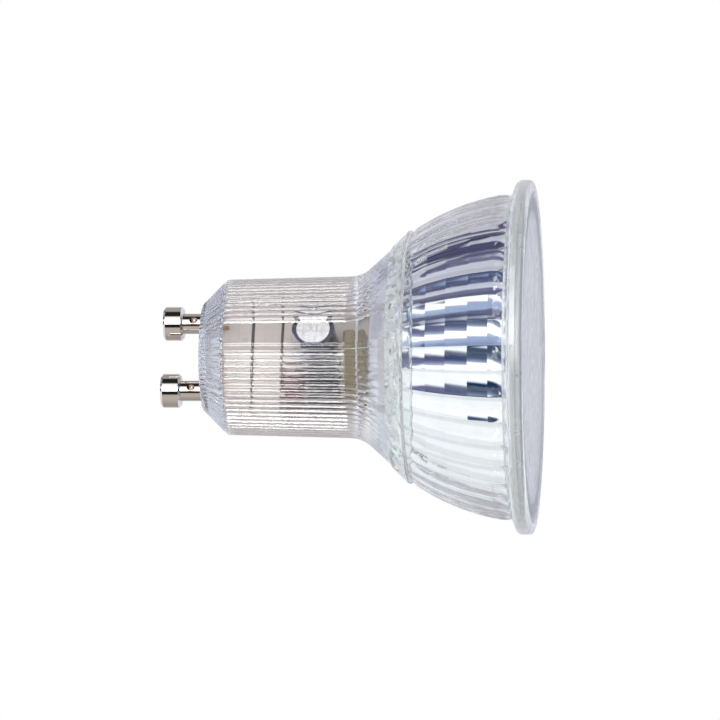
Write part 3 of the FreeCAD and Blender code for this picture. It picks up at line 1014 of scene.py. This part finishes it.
# moulded chips: black compound with a round dimple at one corner and tinned legs along two edges
chips = {
    "compound": (0.022, 0.022, 0.024),
    "grain": (0.045, 0.045, 0.048),
    "tin": (0.7, 0.7, 0.69),
    "fineness": 7.0,
    "rough": (0.55, 0.25),  # compound and tin
    "legPitch": 1.27,
    "legHalf": 0.22,
    "legLength": 0.3,
    "dimplePlace": 0.8,  # from two edges
    "dimpleRange": (0.27, 0.35),
    "dimpleDepth": 0.1,
    "filmFineness": 5.0,
    "filmShare": 0.68,  # of a chip resistor's length, between its tinned ends
    "filmRough": (0.4, 0.22),
    "endRelief": 0.04,
}


def chipFinish(name):
    finish, tree, shader = newFinish("chip_" + name, chips["compound"])
    spot = spotOf(tree, centreOf(name))
    x, y, z = axesOf(tree, spot)
    body = mixed(tree, grain(tree, spot, chips["fineness"]), chips["compound"], chips["grain"])
    edge = calc(tree, "GREATER_THAN", calc(tree, "ABSOLUTE", x), halfWidth(name) - chips["legLength"])
    leg = calc(tree, "LESS_THAN", calc(tree, "PINGPONG", z, chips["legPitch"] / 2), chips["legHalf"])
    onLeg = calc(tree, "MULTIPLY", edge, leg)
    tint(tree, shader, onLeg, body, chips["tin"])
    feed(tree, remap(tree, onLeg, 0, 1, *chips["rough"]), shader.inputs["Roughness"])
    low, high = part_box(name)
    inset = chips["dimplePlace"] * mm
    away = distance(tree, spotOf(tree, (low[0] + inset, high[1], low[2] + inset)))
    dent(tree, shader, remap(tree, away, *chips["dimpleRange"], 0, 1), chips["dimpleDepth"])
    return finish


def chipResistorFinish(name):  # dark film between two tinned ends
    finish, tree, shader = newFinish("film_" + name, chips["compound"])
    spot = spotOf(tree, centreOf(name))
    x, y, z = axesOf(tree, spot)
    onEnd = calc(tree, "GREATER_THAN", calc(tree, "ABSOLUTE", x), halfWidth(name) * chips["filmShare"])
    body = mixed(tree, grain(tree, spot, chips["filmFineness"]), chips["compound"], chips["grain"])
    tint(tree, shader, onEnd, body, chips["tin"])
    feed(tree, remap(tree, onEnd, 0, 1, *chips["filmRough"]), shader.inputs["Roughness"])
    dent(tree, shader, onEnd, chips["endRelief"])
    return finish


# the fuse resistor: grey-green lacquer with plain colour rings
fuse = {
    "lacquer": (0.2, 0.32, 0.25),
    "paleLacquer": (0.27, 0.4, 0.32),
    "coat": 0.4,
    "fineness": 1.5,
    "rough": (0.25, 0.45),
    "relief": 0.06,
    "rings": (  # place, as a share of the half length, and colour
        (-0.5, (0.25, 0.1, 0.04)),
        (-0.26, (0.02, 0.02, 0.02)),
        (-0.02, (0.25, 0.1, 0.04)),
        (0.34, (0.5, 0.36, 0.12)),
    ),
    "ringHalf": 0.055,
}


def fuseFinish():
    finish, tree, shader = newFinish("greenLacquer", fuse["lacquer"], Coat_Weight=fuse["coat"])
    half = halfWidth("fuse_resistor")
    spot = spotOf(tree, centreOf("fuse_resistor"))
    x, y, z = axesOf(tree, spot)
    cloud = grain(tree, spot, fuse["fineness"])
    colour = mixed(tree, cloud, fuse["lacquer"], fuse["paleLacquer"])
    for share, ring in fuse["rings"]:
        colour = mixed(tree, band(tree, x, share * half, fuse["ringHalf"] * half), colour, ring)
    feed(tree, colour, shader.inputs["Base Color"])
    roughen(tree, shader, cloud, *fuse["rough"])
    dent(tree, shader, cloud, fuse["relief"])
    return finish


# the lamp board and its light-emitting diodes
lamp = {
    "resist": (0.86, 0.86, 0.84),
    "resistCloud": (0.8, 0.8, 0.78),
    "resistFineness": 1.2,
    "resistRough": (0.3, 0.5),
    "track": (0.74, 0.75, 0.74),
    "trackRadius": 8.0,
    "trackHalf": 1.6,
    "trackRelief": 0.05,
    "copper": (0.62, 0.5, 0.34),
    "boardRadius": 12.5,
    "frame": (0.9, 0.9, 0.88),
    "phosphor": (0.95, 0.68, 0.12),
    "phosphorCloud": (0.85, 0.58, 0.1),
    "phosphorRange": (1.12, 1.04),  # the gel's edge, as radii
    "phosphorFineness": 9.0,
    "phosphorRough": (0.25, 0.45),
    "phosphorRelief": 0.01,
}


def lampBoardFinish():
    finish, tree, shader = newFinish("whiteResist", lamp["resist"])
    away = distance(tree, spotOf(tree, stretch=(1, 1, endless)))
    cloud = grain(tree, spotOf(tree), lamp["resistFineness"])
    onTrack = band(tree, away, lamp["trackRadius"], lamp["trackHalf"])
    resist = mixed(tree, cloud, lamp["resist"], lamp["resistCloud"])
    onEdge = calc(tree, "GREATER_THAN", away, lamp["boardRadius"])
    tint(tree, shader, onEdge, mixed(tree, onTrack, resist, lamp["track"]), lamp["copper"])
    roughen(tree, shader, cloud, *lamp["resistRough"])
    dent(tree, shader, onTrack, lamp["trackRelief"])
    return finish


def ledFinish(name):
    finish, tree, shader = newFinish("diode_" + name, lamp["frame"])
    away = distance(tree, spotOf(tree, centreOf(name), stretch=(1, 1, endless)))
    inside = remap(tree, away, *lamp["phosphorRange"], 0, 1)
    grains = grain(tree, spotOf(tree), lamp["phosphorFineness"])
    gel = mixed(tree, grains, lamp["phosphor"], lamp["phosphorCloud"])
    tint(tree, shader, inside, lamp["frame"], gel)
    roughen(tree, shader, grains, *lamp["phosphorRough"])
    dent(tree, shader, grains, lamp["phosphorRelief"])
    return finish


dress(mirrorLook, "reflector_cup")
dress(lensFinish(), "front_lens")
dress(boardFinish(), "driver_board")
dress(canFinish(), "capacitor_can")
dress(sleeveFinish(), "capacitor_sleeve")
dress(lampBoardFinish(), "led_board")
dress(fuseFinish(), "fuse_resistor")
dress(smallFinish("ferriteGrey"), "choke_core")
dress(smallFinish("blackSleeve", stretch=(4, 4, 1)), "choke_winding")
dress(smallFinish("wineEpoxy", Coat_Weight=0.5), "film_capacitor")
dress(smallFinish("tanPlastic"), "box_capacitor")
dress(smallFinish("bareCopper", stretch=(1, 1, 6), Metallic=1.0), "pin_wire_left", "pin_wire_right")
dress(smallFinish("whiteInsulation", stretch=(1, 1, 4)), "output_lead_left", "output_lead_right")
for name in nodes:
    if name.startswith("led_") and name != "led_board":
        dress(ledFinish(name), name)
    if name.startswith("chip_resistor"):
        dress(chipResistorFinish(name), name)
    if name.startswith("contact_pin"):
        dress(pinFinish(name), name)
    if name in ("bridge_rectifier", "driver_chip"):
        dress(chipFinish(name), name)
makeCrimp("crimp_left", -1)
makeCrimp("crimp_right", 1)
print("nodes dressed")


# floor: the bulb stands on it, but only the camera sees it, and only from above
ground = {
    "colour": grey(0.9),
    "rough": 0.6,
    "half": 2.0,  # metres
}


def makeFloor():
    bm = bmesh.new()
    bmesh.ops.create_grid(bm, x_segments=1, y_segments=1, size=ground["half"])
    mesh = bpy.data.meshes.new("floor")
    bm.to_mesh(mesh)
    bm.free()
    finish, tree, shader = newFinish("paleFloor", ground["colour"], Roughness=ground["rough"])
    facing = add(tree, "NewGeometry", {}).outputs["Backfacing"]
    clear = add(tree, "BsdfTransparent", {})
    mix = add(tree, "MixShader", {0: facing})
    tree.links.new(shader.outputs[0], mix.inputs[1])
    tree.links.new(clear.outputs[0], mix.inputs[2])
    tree.links.new(mix.outputs[0], tree.nodes["Material Output"].inputs["Surface"])
    mesh.materials.append(finish)
    floor = bpy.data.objects.new("floor", mesh)
    bpy.context.scene.collection.objects.link(floor)
    floor.visible_diffuse = False
    floor.visible_glossy = False
    floor.visible_transmission = False
    floor.visible_shadow = False


makeFloor()
print("floor laid")
